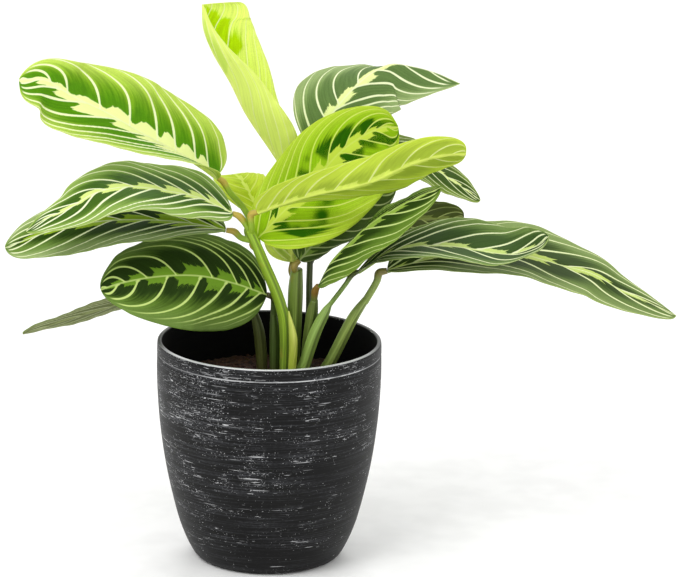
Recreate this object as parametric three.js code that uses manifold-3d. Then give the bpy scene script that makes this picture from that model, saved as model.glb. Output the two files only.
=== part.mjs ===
// A prayer plant in its pot: a round, slightly bulged plastic pot, a bed of potting soil in it,
// and a clump of stems that carry broad, veined leaf blades. Millimetres, +Z up, with the origin
// at the middle of the pot's flat base. The front of the plant faces -Y.
import * as THREE from 'three'
import { mergeVertices } from 'three/addons/utils/BufferGeometryUtils.js'
import Module from 'manifold-3d'

const wasm = await Module()
wasm.setup()

// Driving dimensions of the pot
const potHeight = 130.5
const rimRadius = 65
const bellyRadius = 65.4
const footRadius = 39
const wall = 2.4
const floorThickness = 4
const grooveDrop = 8
const grooveDepth = 0.5
const grooveWidth = 1.2
const footRound = { out: 4, up: 2.2 }
const floorInset = 1
const floorRound = { out: 3, up: 1 }
const lipRound = 0.8
const grooveFlank = 0.1
const potSides = 40

// Driving dimensions of the planting
const soilDrop = 27
const soilRise = 2.5
const bedEdgeDrop = 1
const bedCorner = [[-0.5, 0.3], [1.5, 1.6]]
const humpShares = [0.8, 0.45]
const footDepth = 15
const footClear = 0.5
const footOverlap = 1
const gap = 0.3
const bladeThickness = 0.8
const edgeWave = 0.8
const edgeWaves = 2.5
const keelAtBase = 1.3
const keelAtTip = 0.3
const baseHalfWidth = 1.4
const tipHalfWidth = 0.5
const bladeRows = 12
const halfColumns = 3
const stemSides = 8
const footSides = 12
const stemStep = 11
const stalkLead = 5
const mergeTolerance = 1e-4
const nearlyFlat = 1e-4

const soilHeight = potHeight - soilDrop
const ground = soilHeight + soilRise + footClear
const vector = ([x, y, z]) => new THREE.Vector3(x, y, z)
const blend = THREE.MathUtils.lerp
const radians = THREE.MathUtils.degToRad

// Booleans on closed meshes
function solidOf(geometry) {
  const bare = geometry.clone()
  bare.deleteAttribute('normal')
  bare.deleteAttribute('uv')
  const merged = mergeVertices(bare, mergeTolerance)
  return new wasm.Manifold(new wasm.Mesh({
    numProp: 3,
    vertProperties: new Float32Array(merged.attributes.position.array),
    triVerts: new Uint32Array(merged.index.array),
  }))
}

function geometryOf(solid) {
  const mesh = solid.getMesh()
  const geometry = new THREE.BufferGeometry()
  geometry.setAttribute('position', new THREE.BufferAttribute(mesh.vertProperties, mesh.numProp))
  geometry.setIndex(new THREE.BufferAttribute(mesh.triVerts, 1))
  geometry.computeVertexNormals()
  return geometry
}

function closedGeometry(points, triangles) {
  const geometry = new THREE.BufferGeometry()
  geometry.setFromPoints(points)
  geometry.setIndex(triangles)
  geometry.computeVertexNormals()
  return geometry
}

// A blade is laid out on its rib: s runs from the base to the tip, and t from -1 at the left edge
// over 0 at the rib to 1 at the right edge, seen with the upper face up and the tip ahead. Each
// half has a width, a fold up from the flat at its base end and at its tip end, a further bend
// from the rib to its edge, all in degrees, how fast its outline closes at the tip and at the
// base, and how far its base lobe reaches back past the end of the stalk.
const half = (width, foldBase, foldTip, bend = 0, taper = 0.6, rounding = 0.5, lobe = 0) =>
  ({ width, foldBase, foldTip, bend, taper, rounding, lobe })

const leaves = {
  leaf_upper_left: {
    rib: [[-31, 6, 225], [-39, 1, 232], [-50, -4, 240], [-74, -12, 255], [-93, -16, 267], [-113, -21, 278],
      [-128, -26, 288], [-142, -28, 288]],
    facing: [[0, -0.4, 0.9], [-0.3, -0.8, 0.55]],
    left: half(27, 42, 5, 0, 0.3),
    right: half(33.5, 21, 0, 0, 0.65, 0.25, 14),
  },
  leaf_left: {
    rib: [[-22, -2, 206], [-40, -8, 216], [-56, -14, 221], [-80, -24, 226], [-99, -32, 224],
      [-112, -38, 217], [-128, -42, 210], [-137, -44, 204]],
    facing: [[0, -0.3, 0.95], [-0.3, -0.3, 0.9]],
    left: half(31, 0, 0),
    right: half(35, 0, 0, 0, 0.95, 0.36),
  },
  leaf_left_under: {
    rib: [[-26, 6, 194], [-47, 5, 198], [-70, 3, 200], [-98, -2, 200], [-127, -8, 195], [-152, -13, 186]],
    facing: [[0, -0.4, 0.9], [-0.2, -0.4, 0.9]],
    left: half(28, 11, 0, 0, 0.45, 0.75),
    right: half(28, 0, 0, 0, 0.6),
  },
  leaf_low_left: {
    rib: [[-2, 8, 155], [-20, -2, 164], [-40, -12, 171], [-63, -22, 173], [-84, -30, 171], [-96, -31, 167]],
    facing: [[0, -0.82, 0.57], [-0.1, -0.82, 0.57]],
    left: half(32, -8, -8, -24, 0.55, 0.42),
    right: half(34, -8, -8, -24, 0.5, 0.3),
  },
  leaf_low_left_back: {
    rib: [[-53, 26, 158], [-71, 30, 151], [-95, 34, 140], [-119, 38, 131], [-147, 42, 120]],
    facing: [[0, 0.41, 0.91], [0, 0.41, 0.91]],
    left: half(16, 0, 0),
    right: half(18, 0, 0),
  },
  leaf_upright: {
    rib: [[9, 38, 221], [0, 40, 234], [-15, 40, 256], [-24, 39, 274], [-35, 38, 293], [-40, 38, 306],
      [-41, 39, 320]],
    facing: [[0.9, 0, 0.42], [0.97, -0.15, 0.1]],
    left: half(27, 30, 10, 70, 0.9),
    right: half(29.5, 30, 38, 60, 0.08),
  },
  leaf_centre: {
    rib: [[-7, 4, 190], [7, 6, 205], [25, 10, 223], [41, 16, 240], [62, 26, 251], [73, 34, 250]],
    facing: [[-0.2, -0.9, 0.4], [0, -0.9, 0.4]],
    left: half(25, 0, 0),
    right: half(36, 0, 0, 0, 0.45),
  },
  leaf_centre_front: {
    rib: [[-7, -6, 208], [14, -16, 218], [30, -22, 224], [45, -26, 228], [60, -28, 233], [74, -28, 240],
      [88, -26, 245], [100, -23, 247], [111, -20, 247]],
    facing: [[0, 0.86, 0.5], [0, 0.9, 0.4]],
    left: half(22, 42, 18, 0, 0.35),
    right: half(17, 0, 5, 0, 0.3, 0.3),
  },
  leaf_behind_centre: {
    rib: [[12.5, 15, 173], [13, 20, 184], [17, 25, 200], [24, 30, 215]],
    facing: [[0, 0.98, -0.2], [0, 0.98, -0.2]],
    left: half(15, 0, 0),
    right: half(19, 0, 0, 0, 0.5, 0.4),
  },
  leaf_under_centre: {
    rib: [[17, 8, 176], [27, 12, 187], [43, 16, 199], [58, 20, 210], [72, 22, 218]],
    facing: [[-0.3, -0.95, 0.1], [-0.3, -0.6, 0.7]],
    left: half(22, 0, 0),
    right: half(20, -10, -20, -110),
  },
  leaf_right_front: {
    rib: [[28, 1, 163], [35, -8, 179], [47, -16, 194], [58, -22, 206], [77, -30, 220], [97, -36, 231]],
    facing: [[-0.64, -0.18, 0.74], [-0.5, -0.2, 0.8]],
    left: half(26, -15, -15),
    right: half(26, -15, -15, 0, 0.6, 0.7),
  },
  leaf_right_back: {
    rib: [[34, 38, 182], [61, 44, 187], [85, 48, 192], [113, 52, 192]],
    facing: [[0, 0.64, 0.76], [0, 0.64, 0.76]],
    left: half(20, 0, 0, 0, 0.3, 0.8),
    right: half(25, 0, 0, 0, 0.45),
  },
  leaf_upper_right: {
    rib: [[22, 46, 233], [28, 48, 244], [36, 50, 256], [46, 52, 268], [56, 54, 277], [68, 55, 283],
      [82, 54, 282], [96, 50, 279], [109, 46, 274]],
    facing: [[-0.3, -0.9, 0.3], [0, -0.9, 0.4]],
    left: half(36, 25, -150, -10, 1.2, 0.75, -10),
    right: half(28, 0, 0, 0, 0.9, 1),
  },
  leaf_right_behind: {
    rib: [[39, 56, 230], [63, 60, 230], [82, 63, 225], [102, 65, 214], [123, 66, 199]],
    facing: [[0.1, -0.2, 0.95], [0.4, -0.2, 0.85]],
    left: half(27, 0, 0),
    right: half(26, 0, 0),
  },
  leaf_right: {
    rib: [[51, -4, 173], [70, -12, 187], [92, -20, 193], [114, -26, 193], [136, -30, 191], [151, -32, 196],
      [159, -32, 202]],
    facing: [[0, -0.19, 0.98], [0, -0.19, 0.98]],
    left: half(29, 9, 12, 0, 0.45, 0.7),
    right: half(26, 9, 9),
  },
  leaf_far_right: {
    rib: [[68, 10, 170], [93, 8, 178], [115, 4, 182], [146, 0, 183], [167, -2, 178], [187, -4, 173],
      [200, -6, 166], [227, -8, 154], [235, -8, 150]],
    facing: [[0, -0.27, 0.96], [0.32, -0.27, 0.91]],
    left: half(37, 6, -4, 0, 1),
    right: half(30, 9, 0, 0, 0.6, 0.7),
  },
  leaf_left_back: {
    rib: [[-8, 31, 199], [-14, 45, 208], [-21, 66, 212], [-28, 88, 207]],
    facing: [[0, -0.5, 0.86], [0, -0.1, 1]],
    left: half(16, 0, 0),
    right: half(14, 0, 0),
  },
}

const youngLeaves = ['leaf_upper_left', 'leaf_upright', 'leaf_centre', 'leaf_centre_front',
  'leaf_behind_centre', 'leaf_left_back']
const shadedLeaves = ['leaf_low_left', 'leaf_low_left_back', 'leaf_right_front', 'leaf_right_back']

for (const leaf of Object.values(leaves)) {
  leaf.curve = new THREE.CatmullRomCurve3(leaf.rib.map(vector), false, 'centripetal')
}

function outline(s, { rounding, taper }) {
  const widest = rounding / (rounding + taper)
  return (s / widest) ** rounding * ((1 - s) / (1 - widest)) ** taper
}

function bladeFrame(leaf, s) {
  const along = leaf.curve.getTangentAt(s)
  const facing = vector(leaf.facing[0]).lerp(vector(leaf.facing[1]), s)
  const across = new THREE.Vector3().crossVectors(along, facing).normalize()
  const up = new THREE.Vector3().crossVectors(across, along)
  return { origin: leaf.curve.getPointAt(s), along, across, up }
}

function bladePoint(leaf, frame, s, t, lift) {
  const side = t < 0 ? leaf.left : leaf.right
  const share = outline(s, side)
  const reach = Math.max(side.width * share, blend(baseHalfWidth, tipHalfWidth, s))
  const fold = radians(blend(side.foldBase, side.foldTip, s))
  const bend = radians(side.bend) || nearlyFlat
  const turned = fold + bend * Math.abs(t)
  const sideways = reach * (Math.sin(turned) - Math.sin(fold)) / bend * Math.sign(t)
  const upward = reach * (Math.cos(fold) - Math.cos(turned)) / bend
  const tilt = t === 0 ? 0 : turned
  const wave = edgeWave * t ** 2 * share * Math.sin(2 * Math.PI * edgeWaves * s)
  const raised = lift + wave
  return frame.origin.clone()
    .addScaledVector(frame.along, -side.lobe * t ** 2 * (1 - s) ** 4 * share)
    .addScaledVector(frame.across, sideways - raised * Math.sin(tilt) * Math.sign(t))
    .addScaledVector(frame.up, upward + raised * Math.cos(tilt))
}

function blade(leaf) {
  const columns = 2 * halfColumns
  const points = []
  for (let row = 0; row <= bladeRows; row++) {
    const s = (1 - Math.cos(Math.PI * row / bladeRows)) / 2
    const frame = bladeFrame(leaf, s)
    for (const face of [1, -1]) {
      for (let column = 0; column <= columns; column++) {
        const t = column / halfColumns - 1
        const keel = face < 0 && t === 0 ? blend(keelAtBase, keelAtTip, s) : 0
        points.push(bladePoint(leaf, frame, s, t, face * bladeThickness / 2 - keel))
      }
    }
  }
  const perFace = columns + 1
  const at = (row, face, column) => (2 * row + face) * perFace + column
  const triangles = []
  const quad = (a, b, c, d) => triangles.push(a, b, c, a, c, d)
  for (let row = 0; row < bladeRows; row++) {
    for (let column = 0; column < columns; column++) {
      const corner = face => [at(row, face, column), at(row, face, column + 1),
        at(row + 1, face, column + 1), at(row + 1, face, column)]
      const [a, b, c, d] = corner(0)
      quad(a, b, c, d)
      const [e, f, g, h] = corner(1)
      triangles.push(e, g, f, e, h, g)
    }
    quad(at(row, 1, 0), at(row, 0, 0), at(row + 1, 0, 0), at(row + 1, 1, 0))
    quad(at(row, 0, columns), at(row, 1, columns), at(row + 1, 1, columns), at(row + 1, 0, columns))
  }
  for (let column = 0; column < columns; column++) {
    quad(at(0, 0, column), at(0, 1, column), at(0, 1, column + 1), at(0, 0, column + 1))
    quad(at(bladeRows, 0, column + 1), at(bladeRows, 1, column + 1), at(bladeRows, 1, column),
      at(bladeRows, 0, column))
  }
  return closedGeometry(points, triangles)
}

// Stems: round tubes through a few points, each given as x, y, z and the radius there
function tube(route) {
  const curve = new THREE.CatmullRomCurve3(route.map(vector), false, 'centripetal')
  const steps = Math.max(3, Math.round(curve.getLength() / stemStep))
  const frames = curve.computeFrenetFrames(steps)
  const radiusAt = share => {
    const place = curve.getUtoTmapping(share) * (route.length - 1)
    const before = Math.min(Math.floor(place), route.length - 2)
    return blend(route[before][3], route[before + 1][3], place - before)
  }
  const points = []
  for (let step = 0; step <= steps; step++) {
    const centre = curve.getPointAt(step / steps)
    const radius = radiusAt(step / steps)
    for (let side = 0; side < stemSides; side++) {
      const angle = 2 * Math.PI * side / stemSides
      points.push(centre.clone()
        .addScaledVector(frames.normals[step], radius * Math.cos(angle))
        .addScaledVector(frames.binormals[step], radius * Math.sin(angle)))
    }
  }
  const triangles = []
  for (let step = 0; step < steps; step++) {
    for (let side = 0; side < stemSides; side++) {
      const next = (side + 1) % stemSides
      const a = step * stemSides
      const b = a + stemSides
      triangles.push(a + side, a + next, b + next, a + side, b + next, b + side)
    }
  }
  const last = steps * stemSides
  for (let side = 1; side < stemSides - 1; side++) {
    triangles.push(0, side + 1, side, last, last + side, last + side + 1)
  }
  return closedGeometry(points, triangles)
}

// A stalk runs from the stem to its blade, thins on the way, and stops just short of the blade
const stalk = (route, leafName, firstRadius = 1.9, lastRadius = 1.5) => {
  const start = leaves[leafName].curve.getPointAt(0)
  const along = leaves[leafName].curve.getTangentAt(0)
  const short = back => start.clone().addScaledVector(along, -back).toArray()
  const points = [...route, short(stalkLead), short(gap)]
  const thinned = index => blend(firstRadius, lastRadius, index / (points.length - 1))
  return points.map(([x, y, z], index) => [x, y, z, thinned(index)])
}

// Each stem has the x, y and radius of its foot, then its tubes. The lower part of most of them is
// wrapped in a sheath, which ends where the radius falls off.
const stems = {
  stem_left: {
    foot: [9, 6, 3.2],
    runs: [
      [[9, 6, ground, 3.2], [8, 6, 143, 3.5], [-5, 2, 179, 3.3], [-12, 0, 196, 2.7]],
      stalk([[-7, 2, 183]], 'leaf_centre'),
      stalk([[-11, 0, 193], [-11, -3, 199]], 'leaf_centre_front'),
      stalk([[-11, 0, 194]], 'leaf_left'),
      stalk([[-9, 1, 189], [-17, 4, 190]], 'leaf_left_under'),
      stalk([[-6, 3, 181], [-10, 14, 193], [-16, 14, 205], [-24, 9, 216]], 'leaf_upper_left'),
      stalk([[-8, 3, 184], [-14, 14, 192]], 'leaf_left_back'),
    ],
  },
  stem_middle: {
    foot: [14, 16, 4],
    runs: [
      [[14, 16, ground, 4], [14.5, 15, 135, 4.4], [15, 12.5, 158, 4.6], [15.5, 10, 170, 3.6]],
      stalk([[15.5, 10, 167]], 'leaf_under_centre'),
      stalk([[14.5, 12, 162]], 'leaf_behind_centre'),
    ],
  },
  stem_back: {
    foot: [20, 23, 2.3],
    runs: [
      [[20, 23, ground, 2.3], [22.7, 23, 138, 2.2], [22.7, 25, 160, 2], [23.5, 28, 178, 1.9],
        [27, 33, 195, 1.8]],
      stalk([[27, 33, 193], [21, 40, 215]], 'leaf_upper_right'),
      stalk([[27, 33, 193], [32, 48, 215]], 'leaf_right_behind'),
      stalk([[23, 27, 170]], 'leaf_right_back'),
      stalk([[26, 32, 190], [15, 36, 204]], 'leaf_upright'),
    ],
  },
  stem_near: {
    foot: [21, 11, 3.3],
    runs: [
      [[21, 11, ground, 3.3], [23, 9.5, 130, 3.6], [25, 7, 146, 3.4], [26, 5, 153, 2.2]],
      stalk([[25.5, 6, 150]], 'leaf_right_front', 2.1),
    ],
  },
  stem_right: {
    foot: [18, 2, 3.6],
    runs: [
      [[18, 2, ground, 3.6], [21, 2, 116, 3.7], [27, 1.5, 135, 3.6], [32.5, 1, 147, 2.8],
        [35, 0.5, 152, 1.4]],
      stalk([[34.5, 0.8, 151], [44, -2, 165]], 'leaf_right', 1.4, 1.3),
    ],
  },
  stem_far_right: {
    foot: [32, 14, 3.5],
    runs: [
      [[32, 14, ground, 3.5], [36.5, 13, 115, 3.7], [49, 10, 142, 3.3], [56, 9, 153, 2.2]],
      stalk([[55, 9, 151], [62, 9, 164]], 'leaf_far_right', 2.2, 1.8),
    ],
  },
  stem_low_left: {
    foot: [3, 15, 3],
    runs: [
      [[3, 15, ground, 3], [2.8, 15, 128, 3.1], [2, 14.5, 142, 2]],
      stalk([[2, 14.6, 140], [2.2, 13, 150]], 'leaf_low_left', 2, 1.6),
    ],
  },
  stem_low_back: {
    foot: [-4.5, 21, 3.4],
    runs: [
      [[-4.5, 21, ground, 3.4], [-6.3, 22, 128, 3.5], [-10, 23, 142, 2.1]],
      stalk([[-9, 22.7, 140], [-24, 23, 158]], 'leaf_low_left_back', 2, 1.5),
    ],
  },
  stem_young: {
    foot: [13, -4, 2.3],
    runs: [[[13, -4, ground, 2.3], [13.8, -4, 126, 2.5], [13.6, -3.6, 133, 2.5], [11, -2, 148, 0.4]]],
  },
}

function stemFoot([x, y, radius], spare, top) {
  const bottom = soilHeight - footDepth - spare
  const foot = new THREE.CylinderGeometry(radius + spare, radius + spare, top - bottom, footSides)
  foot.rotateX(Math.PI / 2)
  foot.translate(x, y, (top + bottom) / 2)
  return solidOf(foot)
}

function stem({ foot, runs }) {
  let solid = stemFoot(foot, 0, ground + footOverlap)
  for (const route of runs) {
    solid = solid.add(solidOf(tube(route)))
  }
  return geometryOf(solid)
}

// The pot, turned from its profile of radius and height
const outerRadius = [
  [8, 46.5], [20, 51.5], [40, 56.8], [60, 60.8], [85, 64], [110, bellyRadius],
]
const floorRadius = footRadius - floorInset

function pot() {
  const groove = potHeight - grooveDrop
  const profile = [
    [0, 0], [footRadius, 0], [footRadius + footRound.out, footRound.up],
    ...outerRadius.map(([height, radius]) => [radius, height]),
    [bellyRadius - grooveFlank, groove - grooveWidth], [bellyRadius - grooveDepth, groove],
    [bellyRadius - grooveFlank, groove + grooveWidth],
    [rimRadius, potHeight - lipRound], [rimRadius - wall / 2, potHeight],
    [rimRadius - wall, potHeight - lipRound],
    ...outerRadius.toReversed().map(([height, radius]) => [radius - wall, height]),
    [floorRadius + floorRound.out, floorThickness + floorRound.up],
    [floorRadius, floorThickness], [0, floorThickness],
  ]
  const points = profile.map(([radius, height]) => new THREE.Vector2(radius, height))
  return new THREE.LatheGeometry(points, potSides).rotateX(Math.PI / 2)
}

// Soil fills the pot to a little under its rim and is humped at the middle
function soil() {
  const inset = wall + 2 * gap
  const sides = outerRadius.filter(([height]) => height < soilHeight)
  const topRadius = sides.at(-1)[1] - inset
  const profile = [
    [0, floorThickness + gap],
    ...bedCorner.map(([out, up]) => [floorRadius + out, floorThickness + up]),
    ...sides.map(([height, radius]) => [radius - inset, height + gap]),
    [topRadius, soilHeight - bedEdgeDrop],
    ...humpShares.map(share => [topRadius * share, soilHeight + soilRise * (1 - share)]),
    [0, soilHeight + soilRise],
  ]
  const points = profile.map(([radius, height]) => new THREE.Vector2(radius, height))
  const bed = new THREE.LatheGeometry(points, potSides).rotateX(Math.PI / 2)
  let solid = solidOf(bed)
  for (const { foot } of Object.values(stems)) {
    solid = solid.subtract(stemFoot(foot, gap, ground + footOverlap))
  }
  return geometryOf(solid)
}

function piece(name, geometry, color, roughness) {
  const material = new THREE.MeshStandardMaterial({ color, roughness, metalness: 0 })
  const mesh = new THREE.Mesh(geometry, material)
  mesh.name = name
  return mesh
}

const colours = { pot: 0x2b2c30, soil: 0x2a1712, stem: 0x7da63a,
  young: 0x9cba3c, mature: 0x3f6b38, shaded: 0x2a4a26 }

function leafColour(name) {
  if (youngLeaves.includes(name)) return colours.young
  return shadedLeaves.includes(name) ? colours.shaded : colours.mature
}

const plant = new THREE.Group()
plant.add(piece('pot', pot(), colours.pot, 0.45))
plant.add(piece('soil', soil(), colours.soil, 0.95))
for (const [name, parts] of Object.entries(stems)) {
  plant.add(piece(name, stem(parts), colours.stem, 0.5))
}
for (const [name, leaf] of Object.entries(leaves)) {
  plant.add(piece(name, blade(leaf), leafColour(name), 0.45))
}

export default plant
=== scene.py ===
import math
from functools import cached_property, reduce

import bpy
import numpy as np
from mathutils import Matrix, Vector


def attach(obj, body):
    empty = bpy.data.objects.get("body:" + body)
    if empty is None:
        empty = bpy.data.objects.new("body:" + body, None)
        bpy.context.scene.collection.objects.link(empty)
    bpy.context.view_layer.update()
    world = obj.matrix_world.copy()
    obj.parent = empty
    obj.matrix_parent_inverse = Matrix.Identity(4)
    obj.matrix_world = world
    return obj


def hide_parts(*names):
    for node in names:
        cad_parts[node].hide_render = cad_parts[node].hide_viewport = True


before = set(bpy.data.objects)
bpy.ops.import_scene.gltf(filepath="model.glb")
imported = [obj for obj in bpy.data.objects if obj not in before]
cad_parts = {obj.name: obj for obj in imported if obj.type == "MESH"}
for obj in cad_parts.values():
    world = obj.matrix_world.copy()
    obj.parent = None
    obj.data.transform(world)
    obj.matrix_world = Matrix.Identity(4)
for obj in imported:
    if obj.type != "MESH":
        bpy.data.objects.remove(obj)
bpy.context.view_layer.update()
scene = bpy.context.scene

# Studio: the plant stands on a wide, plain white table. The camera looks a little down on it
# from the front with a long lens, the way a shop photographs a house plant.
MM = 0.001
CAMERA_DISTANCE = 2200 * MM
CAMERA_DOWN = math.radians(15)
CAMERA_ROLL = math.radians(0.8)
MM_PER_PIXEL = 0.5793
PHOTO_WIDTH = 679
SENSOR_MM = 36
FAR_CLIP = 20
AIM = Vector((40.3, 0, 161.5)) * MM
TABLE_HALF = 8000
TABLE_WHITES = (243, 243, 242), (249, 249, 248)
SKY_STRENGTH = 0.8
LIGHTS = dict(
    key_light=dict(place=(-0.9, -1.1, 1.7), target=(0.03, 0, 0.17), size=(1.1, 1.1), watts=22),
    fill_light=dict(place=(1.3, -1.2, 0.9), target=(0.03, 0, 0.17), size=(1.2, 1.2), watts=7),
    back_light=dict(place=(0.4, 2.3, 1.7), target=(0.03, 0, 0.2), size=(1.8, 1.0), watts=24),
)

forward = Vector((0, math.cos(CAMERA_DOWN), -math.sin(CAMERA_DOWN)))
level = Vector((1, 0, 0))
upright = Vector((0, math.sin(CAMERA_DOWN), math.cos(CAMERA_DOWN)))
right = level * math.cos(CAMERA_ROLL) + upright * math.sin(CAMERA_ROLL)
up = upright * math.cos(CAMERA_ROLL) - level * math.sin(CAMERA_ROLL)
lens = bpy.data.cameras.new("camera")
lens.sensor_width = SENSOR_MM
lens.lens = SENSOR_MM * CAMERA_DISTANCE / (PHOTO_WIDTH * MM_PER_PIXEL * MM)
lens.clip_end = FAR_CLIP
camera = bpy.data.objects.new("camera", lens)
camera.matrix_world = Matrix.Translation(AIM - forward * CAMERA_DISTANCE) @ Matrix(
    (right, up, -forward)).transposed().to_4x4()
scene.collection.objects.link(camera)
scene.camera = camera
scene.view_settings.view_transform = "Standard"

for name, light in LIGHTS.items():
    panel = bpy.data.lights.new(name, "AREA")
    panel.shape = "RECTANGLE"
    panel.size, panel.size_y = light["size"]
    panel.energy = light["watts"]
    lamp = bpy.data.objects.new(name, panel)
    lamp.location = light["place"]
    facing = Vector(light["target"]) - Vector(light["place"])
    lamp.rotation_euler = facing.to_track_quat("-Z", "Y").to_euler()
    scene.collection.objects.link(lamp)

world = bpy.data.worlds.new("studio")
scene.world = world
world.use_nodes = True
sky = world.node_tree.nodes["Background"].inputs
sky["Color"].default_value = (1, 1, 1, 1)
sky["Strength"].default_value = SKY_STRENGTH


def paint(red, green, blue):
    """A colour as it looks on a screen, 0 to 255, as the linear colour that a shader takes."""
    parts = [value / 255 for value in (red, green, blue)]
    return tuple(v / 12.92 if v <= 0.04045 else ((v + 0.055) / 1.055) ** 2.4 for v in parts) + (1,)


class Shading:
    """Adds nodes to a shader tree. What goes into a node is a constant or another's output."""

    def __init__(self, tree):
        self.tree = tree

    def join(self, socket, value):
        if isinstance(value, bpy.types.NodeSocket):
            self.tree.links.new(value, socket)
        else:
            socket.default_value = value

    def add(self, kind, inputs=None, **settings):
        """Adds one node, with its inputs by name or number, and gives its outputs."""
        made = self.tree.nodes.new("ShaderNode" + kind)
        for name, value in settings.items():
            setattr(made, name, value)
        for key, value in (inputs or {}).items():
            self.join(made.inputs[key], value)
        return made.outputs

    @cached_property
    def place(self):
        return self.add("TexCoord")["Object"]

    def split(self, vector):
        return self.add("SeparateXYZ", {0: vector})

    def maths(self, operation, *values):
        return self.add("Math", dict(enumerate(values)), operation=operation)[0]

    def times(self, *values):
        return reduce(lambda first, second: self.maths("MULTIPLY", first, second), values)

    def plus(self, *values):
        return reduce(lambda first, second: self.maths("ADD", first, second), values)

    def minus(self, first, second):
        return self.maths("SUBTRACT", first, second)

    def fade(self, value, start, end, low=0, high=1):
        """Goes softly from low to high while value goes from start to end."""
        return self.add("MapRange", {"Value": value, "From Min": start, "From Max": end,
                                     "To Min": low, "To Max": high}, interpolation_type="SMOOTHSTEP")[0]

    def tint(self, share, first, second):
        """Mixes from the first colour to the second."""
        return self.add("Mix", {0: share, 6: first, 7: second}, data_type="RGBA")[2]

    def coat(self, colour, *coats):
        """Lays coats over a colour, each given as its share and its own colour."""
        return reduce(lambda under, coat: self.tint(coat[0], under, coat[1]), coats, colour)

    def noise(self, vector, scale, detail=2, roughness=0.5):
        return self.add("TexNoise", {"Vector": vector, "Scale": scale, "Detail": detail,
                                     "Roughness": roughness})[0]

    def bump(self, strength, distance, height):
        return self.add("Bump", {"Strength": strength, "Distance": distance, "Height": height})[0]

    def face(self, colour, roughness, normal=(0, 0, 0), shine=0.5, metal=0):
        return self.add("BsdfPrincipled", {"Base Color": colour, "Roughness": roughness, "Normal": normal,
                                           "Specular IOR Level": shine, "Metallic": metal})[0]

    def surface(self, shader):
        self.add("OutputMaterial", {"Surface": shader})


def new_material(name):
    material = bpy.data.materials.new(name)
    material.use_nodes = True
    material.node_tree.nodes.clear()
    return material, Shading(material.node_tree)


def mesh_piece(name, points, faces, attributes=None, face_slots=None, materials=()):
    """A smooth mesh from points in millimetres, with one vector attribute for each name."""
    mesh = bpy.data.meshes.new(name)
    mesh.from_pydata((np.asarray(points) * MM).tolist(), [], [list(map(int, face)) for face in faces])
    for label, values in (attributes or {}).items():
        layer = mesh.attributes.new(label, "FLOAT_VECTOR", "POINT")
        layer.data.foreach_set("vector", np.asarray(values, np.float32).ravel())
    mesh.polygons.foreach_set("use_smooth", [True] * len(mesh.polygons))
    for material in materials:
        mesh.materials.append(material)
    if face_slots is not None:
        mesh.polygons.foreach_set("material_index", np.asarray(face_slots, np.int32))
    mesh.update()
    piece = bpy.data.objects.new(name, mesh)
    scene.collection.objects.link(piece)
    return piece


white_table, nodes = new_material("white_table")
grain = nodes.fade(nodes.noise(nodes.place, 40), 0.3, 0.7)
white = nodes.tint(grain, *(paint(*colour) for colour in TABLE_WHITES))
nodes.surface(nodes.face(white, 0.7))
corners = [(x * TABLE_HALF, y * TABLE_HALF, 0) for x, y in ((-1, -1), (1, -1), (1, 1), (-1, 1))]
floor = mesh_piece("floor", corners, [(0, 1, 2, 3)], materials=(white_table,))

# Pot: a round, slightly bulged cover pot with a rolled lip and one fine groove under it.
# Injection moulded in charcoal black plastic, then dry-brushed with silver while it turned,
# so the paint lies in short, broken, level streaks. Inside it is bare matte plastic.
POT_HEIGHT = 130.5
RIM_RADIUS = 65
BELLY_RADIUS = 65.4
FOOT_RADIUS = 39
POT_WALL = 2.4
POT_FLOOR = 4
GROOVE_DROP = 8
GROOVE_DEPTH = 0.5
GROOVE_WIDTH = 1.2
LIP_ROUND = 0.8
OUTER_SIDE = [(8, 46.5), (20, 51.5), (40, 56.8), (60, 60.8), (85, 64), (110, BELLY_RADIUS)]
POT_SIDES = 256
POT_STEP = 0.8
LIP_STEP = 0.4
INSIDE_STEP = 4
CURVE_STEPS = 40
BRUSH_RIDGES = 1200
RIDGE_BLEND = 7
RIDGE_DEPTH = 0.035
RIDGES_FROM, RIDGES_FULL_AT = 3, 9
BRUSH_MARKS = (
    dict(around=75, high=2100, shift=0, bare=0.84, full=0.13),
    dict(around=190, high=2300, shift=7, bare=0.84, full=0.12),
    dict(around=1100, high=2300, shift=5, bare=0.82, full=0.14),
)
MARK_SOFTNESS = 0.055
CHARCOALS = paint(7, 7, 8), paint(12, 12, 12)
SILVER_HAZE = paint(72, 73, 77)
SILVER = paint(208, 209, 211)
BARE_BLACKS = paint(5, 5, 6), paint(11, 11, 12)


def smooth_line(points, step):
    """Points every step along a smooth line through the given ones, as wide as they are."""
    knots = np.asarray(points, float)
    knots = np.vstack([2 * knots[0] - knots[1], knots, 2 * knots[-1] - knots[-2]])
    line = [knots[1][None]]
    for p0, p1, p2, p3 in zip(knots, knots[1:], knots[2:], knots[3:]):
        d0, d1, d2 = (max(np.linalg.norm(b - a), 1e-9) ** 0.5 for a, b in ((p0, p1), (p1, p2), (p2, p3)))
        m1 = ((p1 - p0) / d0 - (p2 - p0) / (d0 + d1) + (p2 - p1) / d1) * d1
        m2 = ((p2 - p1) / d1 - (p3 - p1) / (d1 + d2) + (p3 - p2) / d2) * d1
        u = np.linspace(0, 1, CURVE_STEPS + 1)[1:, None]
        line.append((2 * u**3 - 3 * u**2 + 1) * p1 + (u**3 - 2 * u**2 + u) * m1
                    + (3 * u**2 - 2 * u**3) * p2 + (u**3 - u**2) * m2)
    line = np.vstack(line)
    length = np.concatenate([[0], np.cumsum(np.linalg.norm(np.diff(line, axis=0), axis=1))])
    stops = np.linspace(0, length[-1], max(2, round(length[-1] / step)) + 1)
    return np.stack([np.interp(stops, length, axis) for axis in line.T], -1)


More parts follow.
